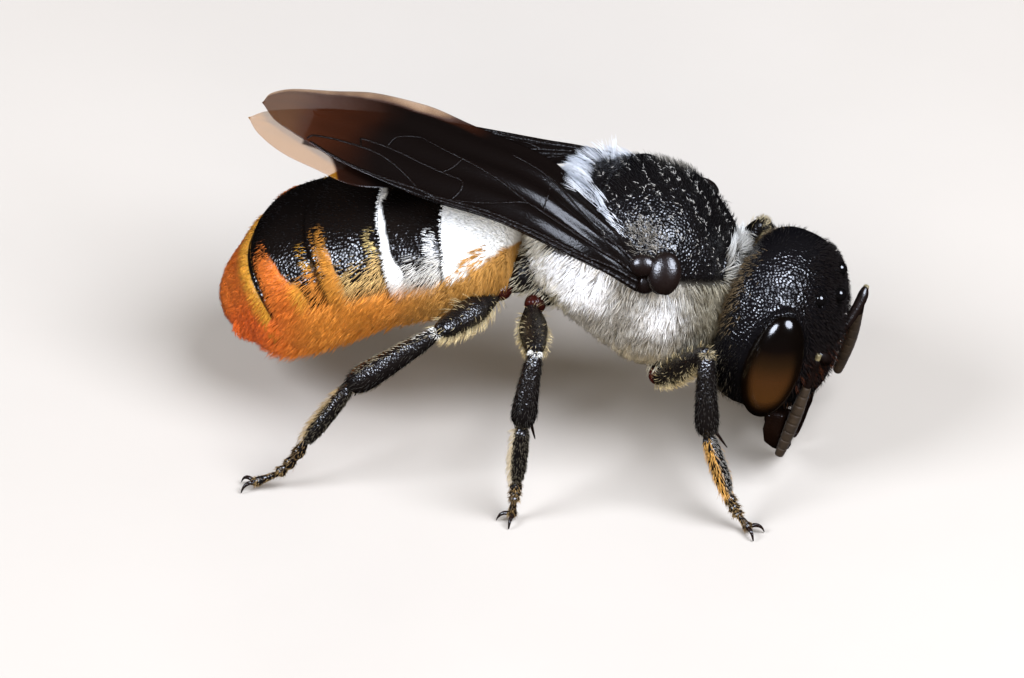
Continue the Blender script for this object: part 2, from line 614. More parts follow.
# Sense hairs too small to see one by one: a dull grey-brown felt with a faint bloom along its edges.
felt, tree = new_material("grey_brown_sensory_felt")
where = node(tree, "TexCoord")
pile = node(tree, "TexNoise", {"Vector": where.outputs["Object"], "Scale": 26000.0, "Detail": 3.0})
bloom = node(tree, "TexNoise", {"Vector": where.outputs["Object"], "Scale": 2600.0, "Detail": 2.0})
tone = node(tree, "Mix", {"Factor": bloom.outputs["Fac"], "A": linear("#150f0a"), "B": linear("#352818")},
            data_type="RGBA")
nap = node(tree, "Bump", {"Height": pile.outputs["Fac"], "Strength": 0.5, "Distance": 0.000008})
shell = node(tree, "BsdfPrincipled", {"Base Color": tone.outputs["Result"], "Roughness": 0.55,
                                      "Sheen Weight": 0.05, "Sheen Roughness": 0.4,
                                      "Normal": nap.outputs["Normal"]})
node(tree, "OutputMaterial", {"Surface": shell.outputs["BSDF"]})

# Joint skin: thin, creased and unpigmented, so the elbow shows as a pale yellowish ring.
pale_skin, tree = new_material("pale_joint_membrane")
where = node(tree, "TexCoord")
creases = node(tree, "TexNoise", {"Vector": where.outputs["Object"], "Scale": 20000.0})
fold = node(tree, "Bump", {"Height": creases.outputs["Fac"], "Strength": 0.5, "Distance": 0.00001})
tone = node(tree, "Mix", {"Factor": creases.outputs["Fac"], "A": linear("#3f3826"), "B": linear("#7c7150")},
            data_type="RGBA")
shell = node(tree, "BsdfPrincipled", {"Base Color": tone.outputs["Result"], "Roughness": 0.5,
                                      "Normal": fold.outputs["Normal"]})
node(tree, "OutputMaterial", {"Surface": shell.outputs["BSDF"]})

DRUMS = 10
DRUM_RADIUS = 0.155
SHAFT_GIRTH = smooth_curve((0, 0.11), (0.12, 0.09), (0.3, 0.11), (0.85, 0.13), (1, 0.09))
PEDICEL_GIRTH = smooth_curve((0, 0.07), (0.4, 0.105), (1, 0.095))
COLLAR_GIRTH = 0.07
SHINY_LENGTH = 0.85             # how far down from the elbow the drums are polished, in mm
FEELERS = {
    "right": {"socket": (1.2, -0.45, -0.3), "elbow": (4.42, -1.4, 3.52), "tip": (3.6, -1.87, 0.86),
              "bow": (0.02, -0.04, 0.0), "scape_bow": (0.2, 0.0, 0.0)},
    "left": {"socket": (1.2, 0.5, -0.3), "elbow": (4.98, 1.22, 3.72), "tip": (4.24, 1.62, 0.9),
             "bow": (0.04, 0.04, 0.0), "scape_bow": (0.1, 0.05, 0.0)},
}


def drum_girth(t):
    """Drums of nearly one width, each drawn in where it meets the next, the last one rounded."""
    place = (t * DRUMS) % 1.0
    waist = hill(place, 0, 0.06) + hill(place, 1, 0.06)
    swell = 0.6 + 0.4 * ramp(t, 0.05, 0.55) - 0.22 * ramp(t, 0.6, 1.0)
    return DRUM_RADIUS * swell * (1 - 0.14 * waist)


for side_name, feeler in FEELERS.items():
    socket, elbow, tip = on_head(*feeler["socket"]), np.array(feeler["elbow"]), np.array(feeler["tip"])
    hang = (tip - elbow) / np.linalg.norm(tip - elbow)
    shaft_way = limb(socket, elbow - hang * 0.02, SHAFT_GIRTH, bow=feeler["scape_bow"], power=5.0)
    collar_way = limb(elbow - hang * 0.05, elbow + hang * 0.16, lambda t: COLLAR_GIRTH + 0 * t, power=6.0)
    pedicel_way = limb(elbow + hang * 0.08, elbow + hang * 0.42, PEDICEL_GIRTH, power=5.0)
    drums_way = limb(elbow + hang * 0.36, tip, drum_girth, bow=feeler["bow"], power=9.0)
    shaft = closed_skin("feeler_shaft", shaft_way, 24, 40, smooth_chitin)
    collar = closed_skin("feeler_collar", collar_way, 20, 12, pale_skin)
    pedicel = closed_skin("feeler_pedicel", pedicel_way, 24, 20, smooth_chitin)
    drums = closed_skin("feeler_drums", drums_way, 24, 200, felt)
    drums.data.materials.append(smooth_chitin)
    for face in drums.data.polygons:
        spot = np.array(face.center) * 1000 - np.array(shift)
        face.material_index = int(np.dot(spot - elbow, hang) < SHINY_LENGTH)
    settle(join("feeler_base_" + side_name, [shaft, collar, pedicel]), "cuticle_black", "scape_" + side_name)
    drums.name = "feeler_drums_" + side_name
    settle(drums, "antenna_grey", "flagellum_" + side_name)

# ---------------------------------------------------------------- abdomen: six back plates
# Six rings of black pitted chitin, each rim standing over the next plate, with a bare shiny groove
# behind each rim. Below and behind they lie inside the solid by the depth of the hair brush.

# Abdomen chitin: finer, shallower pits than the thorax's, brown-black where it is worn.
abdomen_chitin = chitin("pitted_abdomen_chitin", "#060505", "#100b08", 0.075, 0.004, 0.18, marked=True)
TERGITE_ENDS = (-2.85, -4.45, -5.65, -7.15, -8.5, -9.4, -10.0)
RIM_LEAN = (0.0, 0.3, 0.3, 0.4, 0.35, 0.2, 0.0)     # how far each rim runs forward down the sides
axis_z = smooth_curve((-10.0, 1.72), (-9.0, 2.4), (-8.0, 3.0), (-6.7, 3.7), (-5.5, 4.22), (-4.2, 4.52),
                      (-2.85, 4.66))
half_width = smooth_curve((-10.0, 0.85), (-9.55, 1.4), (-8.85, 1.88), (-7.8, 2.25), (-6.2, 2.4), (-4.6, 2.25),
                          (-3.5, 1.85), (-2.85, 1.3))
height_up = smooth_curve((-10.0, 0.55), (-9.5, 0.95), (-8.8, 1.38), (-7.8, 1.7), (-6.2, 1.68), (-4.9, 1.42),
                         (-3.6, 1.08), (-2.85, 0.75))
height_down = smooth_curve((-10.0, 0.75), (-9.5, 1.2), (-8.8, 1.62), (-7.8, 1.68), (-6.2, 1.4), (-4.8, 1.3),
                           (-2.85, 0.8))
BRUSH_DEPTH = 0.42              # how far the belly lies above the ends of its hairs
TAIL_COAT = 0.2                 # the same for the furred last two plates


def abdomen_point(x, grow, angle):
    """A point of the section at x, which stands square to the drooping axis."""
    slope = np.arctan((axis_z(x + 0.2) - axis_z(x - 0.2)) / 0.4)
    reach = np.where(np.sin(angle) > 0, height_up(x), height_down(x))
    belly = ramp(-np.sin(angle), 0.35, 0.8)
    tail = ramp(-x, 8.4, 9.3)
    grow = grow * (1 - BRUSH_DEPTH / 1.6 * belly) * (1 - TAIL_COAT / 1.4 * tail * (1 - belly))
    side = half_width(x) * grow * squared(np.cos(angle), 0.85)
    lift = reach * grow * squared(np.sin(angle), 0.9)
    return np.stack((x - lift * np.sin(slope), side, axis_z(x) + lift * np.cos(slope)), axis=-1)


# How each plate swells from its hidden front edge to its rim; the last one closes the tail.
PLATE_PROFILE = smooth_curve((0.0, 0.0), (0.03, 0.9), (0.1, 0.965), (0.2, 0.985), (0.26, 1.0), (0.6, 1.02),
                             (0.78, 1.03), (0.84, 1.012), (0.95, 1.015), (0.975, 1.0), (0.985, 0.94),
                             (1.0, 0.0))
LAST_PROFILE = smooth_curve((0.0, 0.0), (0.03, 0.95), (0.35, 0.93), (0.7, 0.74), (0.9, 0.5), (1.0, 0.0))


def tergite(number):
    """Back plate 1 to 6: it starts under the rim before it and swells to its own rim."""
    front, rear = TERGITE_ENDS[number - 1], TERGITE_ENDS[number]
    front_lean, rear_lean = RIM_LEAN[number - 1], RIM_LEAN[number]
    last = number == 6
    profile = LAST_PROFILE if last else PLATE_PROFILE
    overlap = 0.0 if last else 0.1

    def surface(station, angle):
        lean = 1 - np.maximum(np.sin(angle), 0) ** 2
        start, end = front + front_lean * lean, rear - overlap + rear_lean * lean
        return abdomen_point(start + (end - start) * station, profile(station), angle)
    return surface


RED, GOLD, ORANGE, WHITE = "#ea6a28", "#d89c34", "#e0782c", "#fcfbf6"
# Hair bands on plates 2 to 4, as shares of a plate's length: where the front strip ends, where the
# rear band starts on the ridge and low on the side, and the colours of strip, band and low fringe.
BANDS = {2: (0.26, 0.87, 0.69, WHITE, WHITE, "#d9d4c9"),
         3: (0.19, 0.66, 0.64, "#dcc07c", "#cf8a34", "#d8b272"),
         4: (0.2, 0.6, 0.36, GOLD, ORANGE, "#d98a38")}
BRUSH_TOP = -0.12               # how low on the side the brush takes over, as -1 at the ridge and 1 beneath


def belly_colour(x):
    """The brush under the belly: golden in front, then ginger, orange-red at the tail."""
    return mix(mix("#c8934a", "#e8953a", ramp(x, -4.0, -6.0)), "#ea6c28", ramp(x, -6.8, -8.9))


def plate_coat(number, spots, station, angle):
    """The coat of a back plate by place: how thickly it covers, and its colour."""
    low = -np.sin(angle)
    below = belly_colour(spots[:, 0])
    wander = 0.07 * (ripple_of(spots, 0.16) - 0.5)
    if number == 1:
        line = -0.24 - 0.52 * (1 - station) ** 1.8 + wander
        return ramp(station, 0.96, 0.93), mix(WHITE, below, ramp(low, line - 0.02, line + 0.06))
    if number > 4:
        rear = ramp(station, 0.15, 0.45) if number == 5 else 1 + 0 * station
        colour = mix(GOLD, RED, rear * (0.75 + 0.25 * ramp(low, -0.8, 0.0)))
        return ramp(station, 0.12, 0.22), mix(colour, RED, ramp(low, 0.1, 0.5))
    strip, top_start, low_start, strip_colour, band_colour, fringe_colour = BANDS[number]
    down = np.clip((low + 1) / 0.64, 0, 1)
    start = top_start + (low_start - top_start) * down ** 2 + wander
    stop = 0.93 if number == 2 else 0.87
    band = ramp(station, start - 0.04, start + 0.06) * ramp(station, stop + 0.03, stop)
    if number > 2:
        band = band * (0.06 + (0.7 if number == 3 else 0.9) * ramp(low, -1.0, -0.62))
    front = 0.5 * ramp(station, strip + 0.04, strip - 0.05) * ramp(low, -0.98, -0.6)
    fringe = 0.26 * ramp(low + 2 * wander, -0.72, -0.3) * ramp(station, 0.96, 0.92)
    brush = ramp(low, BRUSH_TOP - 0.05, BRUSH_TOP + 0.1)
    colour = mix(mix(strip_colour, band_colour, ramp(station, 0.35, 0.55)), fringe_colour,
                 ramp(low, -0.66, -0.5) * ramp(station, start, start - 0.06))
    colour = mix(colour, below, ramp(low, BRUSH_TOP - 0.2, BRUSH_TOP + 0.1))
    return np.maximum(np.maximum(band, front), np.maximum(fringe, brush)), colour


def plate_marks(number):
    """The plate's skin takes its coat's colour where the hair lies thick."""
    def marks(spots, station, angle):
        cover, colour = plate_coat(number, spots, station, angle)
        return colour, 0.6 * ramp(cover, 0.4, 0.9)
    return marks


for number in range(1, 7):
    plate = closed_skin("back_plate_%d" % number, tergite(number), 96, 60, abdomen_chitin,
                        plate_marks(number))
    settle(plate, "hair_orange" if number > 4 else "abdomen_black", "abdomen_%d" % number)

# ---------------------------------------------------------------- legs
# Black pitted chitin tubes jointed end to end: hip, small maroon second joint, thigh, shin, long first
# foot joint, four short ones and two brown claws. Each segment is a closed tube with its own swell.

# Leg chitin: black with close fine pits that glitter. At the second joint it is thin and dark red.
leg_chitin = chitin("pitted_leg_chitin", "#070606", "#120e0c", 0.055, 0.004, 0.22)
maroon_chitin = chitin("maroon_joint_chitin", "#1d0806", "#34100a", 0.05, 0.003, 0.2)
LEGS = {
    "fore": {"hip": (1.0, 0.95, 3.0), "trochanter": (0.55, 1.5, 2.25), "knee": (2.05, 2.65, 4.12),
             "shin": (2.2, 3.22, 2.2), "heel": (2.77, 3.6, 0.85), "toe": (3.34, 3.85, 0.13),
             "sag": -0.1, "thigh": 0.31, "calf": 0.33},
    "mid": {"hip": (-1.7, 0.55, 4.3), "trochanter": (-2.42, 1.32, 3.8), "knee": (-1.8, 3.55, 4.15),
            "shin": (-1.95, 4.28, 2.5), "heel": (-2.03, 4.5, 1.06), "toe": (-2.12, 4.62, 0.14),
            "sag": -0.02, "thigh": 0.34, "calf": 0.35},
    "hind": {"hip": (-2.35, 0.5, 4.5), "trochanter": (-3.15, 1.35, 4.12), "knee": (-4.15, 3.38, 4.2),
             "shin": (-6.1, 4.0, 2.78), "heel": (-7.05, 4.48, 1.36), "toe": (-8.25, 4.74, 0.16),
             "sag": -0.3, "thigh": 0.35, "calf": 0.37},
}
LEFT_SHIFT = {"fore": (0.25, 0.1, 0), "mid": (0.3, 0.05, 0), "hind": (0.2, -0.05, 0)}
COXA_GIRTH = smooth_curve((0, 0.5), (0.5, 0.44), (0.85, 0.3), (1, 0.24))
SECOND_GIRTH = smooth_curve((0, 0.2), (0.5, 0.25), (1, 0.2))
BASITARSUS_GIRTH = smooth_curve((0, 0.14), (0.12, 0.22), (0.6, 0.24), (0.95, 0.19), (1, 0.15))
CLAW_GIRTH = smooth_curve((0, 0.065), (0.5, 0.045), (1, 0.02))
SPUR_GIRTH = smooth_curve((0, 0.045), (0.6, 0.03), (1, 0.012))
# The four short foot joints: where each starts and ends along the foot, and its radius.
TOE_JOINTS = ((0.0, 0.2, 0.15), (0.19, 0.37, 0.14), (0.36, 0.52, 0.13), (0.5, 1.0, 0.115))
TOE_HEART = smooth_curve((0, 0.5), (0.75, 1.0), (1, 0.8))
LAST_TOE = smooth_curve((0, 0.55), (0.5, 0.72), (0.9, 1.0), (1, 0.8))
leg_skins = {}                  # segment surfaces, kept for the hairs that grow on them


def leg_joints(pair, side):
    """The joints of one leg; a left leg stands a little ahead of the right one."""
    leg = LEGS[pair]
    forward = np.array(LEFT_SHIFT[pair]) if side > 0 else np.zeros(3)
    weight = {"hip": 0, "trochanter": 0, "knee": 0.5, "shin": 0.8, "heel": 0.9, "toe": 1.0}
    return {key: np.array(leg[key]) * (1, side, 1) + forward * share for key, share in weight.items()}


for pair, leg in LEGS.items():
    for side, side_name in ((1, "left"), (-1, "right")):
        at = leg_joints(pair, side)
        tag = pair + "_" + side_name
        thigh, calf = leg["thigh"], leg["calf"]
        sag = np.array((0, 0, leg["sag"]))
        inward, outward = at["hip"] - at["trochanter"], at["knee"] - at["trochanter"]
        femur_girth = smooth_curve((0, 0.19), (0.15, 0.24), (0.45, thigh), (0.8, thigh * 0.84),
                                   (1, thigh * 0.7))
        tibia_girth = smooth_curve((0, 0.2), (0.12, 0.23), (0.5, calf * 0.86), (0.85, calf), (1, calf * 0.85))
        surfaces = {
            "coxa": limb(at["hip"], at["trochanter"] + inward * 0.12, COXA_GIRTH, power=4.0),
            "second": limb(at["trochanter"] + inward * 0.2, at["trochanter"] + outward * 0.1, SECOND_GIRTH,
                           power=5.0),
            "femur": limb(at["trochanter"] + outward * 0.04, at["knee"], femur_girth, flat=0.88,
                          bow=(0, 0, -0.06), power=4.5),
            "tibia": limb(at["knee"], at["shin"], tibia_girth, flat=0.85, bow=(0, side * 0.1, 0.04),
                          power=6.0),
            "basitarsus": limb(at["shin"], at["heel"], BASITARSUS_GIRTH, flat=0.8, power=6.0),
        }
        pieces = []
        for segment, surface in surfaces.items():
            material = maroon_chitin if segment == "second" else leg_chitin
            pieces.append(closed_skin(segment + tag, surface, 28, 40, material))
            leg_skins[segment, tag] = surface

        def foot_line(t, at=at, sag=sag):
            return at["heel"] + (at["toe"] - at["heel"]) * t + sag * (4 * t * (1 - t))

        for number, (near, far, radius) in enumerate(TOE_JOINTS):
            swell = TOE_HEART if number < 3 else LAST_TOE
            surface = limb(foot_line(near), foot_line(far), lambda t, r=radius, swell=swell: r * swell(t),
                           power=6.0)
            pieces.append(closed_skin("toe_joint", surface, 18, 16, leg_chitin))
            leg_skins["toe_%d" % number, tag] = surface
        ahead = (at["toe"] - at["heel"]) * (1, 1, 0)
        ahead /= np.linalg.norm(ahead)
        for splay in (0.55, -0.55):
            turned = np.array((ahead[0] * math.cos(splay) - ahead[1] * math.sin(splay),
                               ahead[0] * math.sin(splay) + ahead[1] * math.cos(splay), 0))
            root = at["toe"] - ahead * 0.08
            claw = limb(root, root + turned * 0.42 + np.array((0, 0, 0.03 - root[2])), CLAW_GIRTH,
                        bow=turned * 0.06 + (0, 0, 0.13), power=8.0)
            pieces.append(closed_skin("claw", claw, 10, 20, horn_brown))
        shin_axis = (at["heel"] - at["shin"]) / np.linalg.norm(at["heel"] - at["shin"])
        for spread in (0.16, -0.12):
            root = at["shin"] - shin_axis * 0.1 + np.array((spread, -side * 0.14, -0.05))
            spur = limb(root, root + shin_axis * 0.5 + np.array((spread * 0.8, -side * 0.1, 0)), SPUR_GIRTH,
                        power=8.0)
            pieces.append(closed_skin("spur", spur, 8, 16, horn_brown))
        segments = ("coxa", "femur", "tibia", "basitarsus", "tarsus")
        settle(join("leg_" + tag, pieces), "leg_black", *(segment + "_" + tag for segment in segments))

# ---------------------------------------------------------------- wings
# Two pairs of smoky membrane, folded flat over the back with the right pair on top. Raised brown
# veins hold each wing, the front edge thickest; the outer margin is clear amber-brown.
# Each is a grid moved to its place, given a thin wall, with its veins laid on as tapering tubes.

# Wing membrane: two thin layers of glassy chitin, smoked near-black inside and clear amber outside.
# The map wing_way runs from root to tip, and from the smoky part to the clear margin past 0.8.
membrane, tree = new_material("smoky_wing_membrane")
way = node(tree, "UVMap", uv_map="wing_way")
split = node(tree, "SeparateXYZ", {"Vector": way.outputs["UV"]})
where = node(tree, "TexCoord")
drift = node(tree, "TexNoise", {"Vector": where.outputs["Object"], "Scale": 700.0, "Detail": 2.0})
wander = node(tree, "Math", {0: drift.outputs["Fac"], 1: 0.12, 2: split.outputs["X"]},
              operation="MULTIPLY_ADD")
outer = node(tree, "MapRange", {"Value": wander.outputs["Value"], "From Min": 0.7, "From Max": 0.98},
             interpolation_type="SMOOTHSTEP")
wander_across = node(tree, "Math", {0: drift.outputs["Fac"], 1: 0.08, 2: split.outputs["Y"]},
                     operation="MULTIPLY_ADD")
margin = node(tree, "MapRange", {"Value": wander_across.outputs["Value"], "From Min": 0.84, "From Max": 0.9},
              interpolation_type="SMOOTHSTEP")
past_root = node(tree, "MapRange", {"Value": split.outputs["X"], "From Min": 0.46, "From Max": 0.58},
                 interpolation_type="SMOOTHSTEP")
margin = node(tree, "Math", {0: margin.outputs["Result"], 1: past_root.outputs["Result"]},
              operation="MULTIPLY")
clear = node(tree, "Math", {0: outer.outputs["Result"], 1: 0.46}, operation="MULTIPLY")
clear = node(tree, "Math", {0: clear.outputs["Value"], 1: margin.outputs["Value"]}, operation="MAXIMUM")
tint = node(tree, "ValToRGB", {"Fac": clear.outputs["Value"]})
tint.color_ramp.elements[0].color = linear("#080504")
tint.color_ramp.elements[1].color = linear("#7c5010")
stop = tint.color_ramp.elements.new(0.4)
stop.color = linear("#2e1408")
cover = node(tree, "MapRange", {"Value": clear.outputs["Value"], "To Min": 0.99, "To Max": 0.36})
# Microscopic hairs show as dots about 0.05 mm apart over long soft creases.
dots = node(tree, "TexNoise", {"Vector": where.outputs["Object"], "Scale": 1000 / 0.04, "Detail": 1.0})
creases = node(tree, "TexNoise", {"Vector": where.outputs["Object"], "Scale": 1300.0, "Detail": 2.0})
height = node(tree, "Math", {0: creases.outputs["Fac"], 1: 3.0, 2: dots.outputs["Fac"]},
              operation="MULTIPLY_ADD")
ripple = node(tree, "Bump", {"Height": height.outputs["Value"], "Strength": 0.6, "Distance": 0.00001})
shell = node(tree, "BsdfPrincipled", {"Base Color": tint.outputs["Color"], "Roughness": 0.22, "IOR": 1.5,
                                      "Specular IOR Level": 0.2, "Alpha": cover.outputs["Result"],
                                      "Normal": ripple.outputs["Normal"]})
node(tree, "OutputMaterial", {"Surface": shell.outputs["BSDF"]})
# Vein chitin: brown-black and duller than the membrane it stands on.
vein_horn = chitin("dark_wing_vein", "#050302", "#0c0604", 0.06, 0.004, 0.3, gleam=0.14)

MEMBRANE = 0.016                # the dressed wing's wall
STEPS, STRIPS = 150, 48         # of its grid, along and across


def line_through(*points):
    """A smooth line through points in space, by its share of the way from first to last."""
    points = np.array(points, dtype=float)
    run = np.concatenate(([0], np.cumsum(np.linalg.norm(np.diff(points, axis=0), axis=1))))
    curves = [smooth_curve(*zip(run / run[-1], points[:, k])) for k in range(3)]
    return lambda s: np.stack([curve(s) for curve in curves], axis=-1)


def wing_plane(leading, trailing, camber, fold):
    """A point of a wing: s from root to tip, c from the front edge to the hind edge."""
    front_edge, hind_edge = line_through(*leading), line_through(*trailing)

    def surface(s, c):
        s, c = np.asarray(s, dtype=float), np.asarray(c, dtype=float)
        blend = c[..., None]
        spots = front_edge(s) * (1 - blend) + hind_edge(s) * blend
        ridges = np.cos(2 * np.pi * (3.6 * c + 0.15)) * ramp(s, 0.03, 0.12) * (1 - 0.75 * ramp(s, 0.3, 0.8))
        lift = camber * 4 * c * (1 - c) * ramp(s, 0.0, 0.3) * ramp(s, 1.0, 0.85)
        spots[..., 2] += lift + fold * ridges * 4 * c * (1 - c)
        return spots
    return surface


RIGHT_FRONT = ((0.3, -2.3, 5.3), (-0.92, -2.18, 5.85), (-2.33, -1.78, 6.13), (-3.47, -1.57, 6.36),
               (-4.63, -1.46, 6.49), (-5.65, -1.26, 6.61), (-7.0, -0.88, 6.8), (-8.11, -0.33, 6.95),
               (-8.85, 0.1, 7.06), (-9.27, 0.62, 7.12))
RIGHT_HIND = ((0.3, -1.78, 6.0), (-0.27, -1.5, 6.48), (-1.28, -0.62, 6.7), (-2.42, 0.35, 6.84),
              (-4.38, 1.1, 6.93), (-5.6, 1.5, 7.03), (-6.77, 1.63, 7.08), (-7.72, 1.43, 7.13),
              (-8.7, 1.28, 7.14), (-9.2, 0.95, 7.13), (-9.27, 0.62, 7.12))
LEFT_FRONT = ((0.3, 2.22, 5.46), (-0.92, 2.15, 5.8), (-1.99, 2.1, 5.97), (-2.84, 1.95, 6.12),
              (-4.54, 1.8, 6.36), (-5.5, 1.72, 6.48), (-6.5, 1.6, 6.58), (-7.5, 1.35, 6.7),
              (-8.5, 0.95, 6.83), (-9.2, 0.55, 6.92), (-9.5, 0.2, 6.95))
LEFT_HIND = ((0.3, 1.78, 6.0), (-0.4, 1.52, 6.46), (-2.0, 0.95, 6.35), (-3.5, 0.2, 6.42), (-4.8, -0.5, 6.4),
             (-5.82, -1.06, 6.42), (-6.65, -1.31, 6.52), (-7.67, -1.03, 6.66), (-8.33, -0.83, 6.76),
             (-9.2, -0.2, 6.86), (-9.5, 0.2, 6.95))
FOREWINGS = {"right": wing_plane(RIGHT_FRONT, RIGHT_HIND, 0.1, 0.05),
             "left": wing_plane(LEFT_FRONT, LEFT_HIND, 0.06, 0.04)}
HIND_PLACE = {"right": (0.1, 0.74, 0.05, 0.62), "left": (0.1, 0.7, 0.05, 0.6)}


def hind_plane(side_name):
    """The hind wing lies close under its forewing, along the front part of it."""
    near, far, lead, trail = HIND_PLACE[side_name]
    fore = FOREWINGS[side_name]
    taper = smooth_curve((0, 0.35), (0.35, 0.75), (0.7, 1.0), (0.9, 0.72), (1.0, 0.25))

    def surface(s, c):
        s, c = np.asarray(s, dtype=float), np.asarray(c, dtype=float)
        reach = lead + (trail - lead) * (0.12 * ramp(s, 0.7, 1.0) + c * taper(s))
        spots = fore(near + (far - near) * s, reach)
        spots[..., 2] -= 0.1 + 0.08 * ramp(s, 0.0, 0.3)
        return spots
    return surface


# Veins as ways over the wing, with a radius at each end: (points, first radius, last radius).
FORE_VEINS = (
    (((0.0, 0.1), (0.15, 0.035), (0.35, 0.02), (0.53, 0.02)), 0.085, 0.06),
    (((0.0, 0.28), (0.15, 0.1), (0.35, 0.06), (0.53, 0.05)), 0.06, 0.05),
    (((0.5, 0.03), (0.54, 0.06), (0.6, 0.045), (0.72, 0.02), (0.83, 0.03)), 0.075, 0.03),
    (((0.55, 0.07), (0.6, 0.17), (0.68, 0.25), (0.76, 0.22), (0.83, 0.12), (0.84, 0.04)), 0.035, 0.028),
    (((0.0, 0.42), (0.12, 0.36), (0.24, 0.34), (0.31, 0.35)), 0.06, 0.045),
    (((0.31, 0.35), (0.35, 0.22), (0.41, 0.12), (0.47, 0.06)), 0.04, 0.035),
    (((0.31, 0.35), (0.4, 0.45), (0.5, 0.54), (0.6, 0.6)), 0.04, 0.025),
    (((0.0, 0.66), (0.12, 0.66), (0.25, 0.74), (0.4, 0.8)), 0.05, 0.025),
    (((0.27, 0.35), (0.275, 0.55), (0.29, 0.74)), 0.03, 0.025),
    (((0.47, 0.07), (0.46, 0.2), (0.47, 0.3), (0.56, 0.33), (0.66, 0.36), (0.72, 0.34), (0.71, 0.25)),
     0.035, 0.028),
    (((0.52, 0.32), (0.5, 0.44), (0.49, 0.53)), 0.028, 0.024),
    (((0.66, 0.36), (0.65, 0.48), (0.6, 0.6)), 0.028, 0.022),
)
HIND_VEINS = (
    (((0.0, 0.1), (0.3, 0.04), (0.6, 0.03), (0.85, 0.06)), 0.05, 0.025),
    (((0.0, 0.45), (0.25, 0.4), (0.45, 0.5), (0.7, 0.6)), 0.035, 0.02),
    (((0.3, 0.06), (0.42, 0.28), (0.45, 0.5)), 0.025, 0.02),
)


def vein(plane, points, first, last):
    """A vein as a closed tube that follows the membrane and stands a little above it."""
    way_points = np.array(points)
    share = np.linspace(0, 1, len(points))
    along, across = (smooth_curve(*zip(share, way_points[:, k])) for k in (0, 1))

    def surface(station, angle):
        t = 0.5 - 0.5 * np.cos(np.pi * station)
        centre = plane(along(t), across(t))
        heading = plane(along(np.minimum(t + 0.01, 1)), across(np.minimum(t + 0.01, 1))) \
            - plane(along(np.maximum(t - 0.01, 0)), across(np.maximum(t - 0.01, 0)))
        sideways = np.cross(heading, (0, 0, 1.0))
        sideways /= np.linalg.norm(sideways, axis=-1, keepdims=True) + 1e-9
        radius = (first + (last - first) * t) * rounded(t, 10.0)
        return (centre + sideways * (radius * np.cos(angle))[..., None]
                + np.multiply.outer(0.75 * radius * np.sin(angle), (0, 0, 1.0)))
    return surface


# The map of the wing's colour across its width: past 0.8 the smoky part gives way to the clear margin.
TONE_ACROSS = {"right": smooth_curve((0, 0), (0.84, 0.79), (0.92, 0.833), (1, 0.843)),
               "left": smooth_curve((0, 0), (0.66, 0.78), (0.78, 0.9), (1, 1))}


def make_wing(name, plane, veins, tone_across, tip_tone=0.0):
    """A wing with its veins. With a tip_tone its margin clears only outwards, and its whole tip too."""
    bpy.ops.object.select_all(action="DESELECT")
    bpy.ops.mesh.primitive_grid_add(x_subdivisions=STEPS, y_subdivisions=STRIPS, size=2.0)
    wing = bpy.context.object
    mesh = wing.data
    flat = np.empty(len(mesh.vertices) * 3)
    mesh.vertices.foreach_get("co", flat)
    even = 0.5 + 0.5 * flat.reshape(-1, 3)[:, 0]
    c = 0.5 + 0.5 * flat.reshape(-1, 3)[:, 1]
    s = np.sin(0.5 * np.pi * even)
    mesh.vertices.foreach_set("co", set_down(plane(s, c)).ravel())
    way_map = mesh.uv_layers[0]
    way_map.name = "wing_way"
    owner = np.empty(len(mesh.loops), dtype=int)
    mesh.loops.foreach_get("vertex_index", owner)
    tone = tone_across(c)
    if tip_tone:
        tone = np.maximum(tone * ramp(s, 0.55, 0.8), tip_tone * ramp(s, 0.7, 0.86))
    way_map.data.foreach_set("uv", np.stack((s[owner], tone[owner]), axis=-1).ravel())
    mesh.update()
    if sum(face.normal.z for face in list(mesh.polygons)[:200]) < 0:
        mesh.flip_normals()
    mesh.materials.append(membrane)
    mesh.shade_smooth()
    apply_modifier(wing, "SOLIDIFY", thickness=MEMBRANE * 0.001, offset=0.0)
    tubes = [closed_skin("vein", vein(plane, *facts), 8, 10 * len(facts[0]), vein_horn) for facts in veins]
    return join(name, [wing, *tubes])


for side_name, tip_tone in (("right", 0.0), ("left", 0.9)):
    fore = make_wing("smoky_forewing_" + side_name, FOREWINGS[side_name], FORE_VEINS, TONE_ACROSS[side_name],
                     tip_tone)
    settle(fore, "wing_brown", "forewing_" + side_name)
    hind = make_wing("smoky_hindwing_" + side_name, hind_plane(side_name), HIND_VEINS, TONE_ACROSS["right"])
    settle(hind, "wing_brown", "hindwing_" + side_name)

# ---------------------------------------------------------------- coat: how a hair is made
# Every hair is a closed three-sided spine that tapers to a point, rooted just under the skin, and
# bends from its first rise towards the lie of the coat. Hairs near each other may lean to a lock.

# Bee hair is a hollow chitin bristle: satin, coloured hair by hair and faintly flecked along it.
hair_finish, tree = new_material("keratin_like_bee_hair")
tint = node(tree, "Attribute", attribute_name="hair_colour")
where = node(tree, "TexCoord")
fleck = node(tree, "TexNoise", {"Vector": where.outputs["Object"], "Scale": 5000.0, "Detail": 1.0})
shade = node(tree, "MapRange", {"Value": fleck.outputs["Fac"], "From Min": 0.3, "From Max": 0.7,
                                "To Min": 0.82, "To Max": 1.0})
body = node(tree, "Mix", {"Factor": 1.0, "A": tint.outputs["Color"], "B": shade.outputs["Result"]},
            data_type="RGBA", blend_type="MULTIPLY")
bristle = node(tree, "BsdfPrincipled", {"Base Color": body.outputs["Result"], "Roughness": 0.5, "IOR": 1.5,
                                        "Specular IOR Level": 0.16})
node(tree, "OutputMaterial", {"Surface": bristle.outputs["BSDF"]})

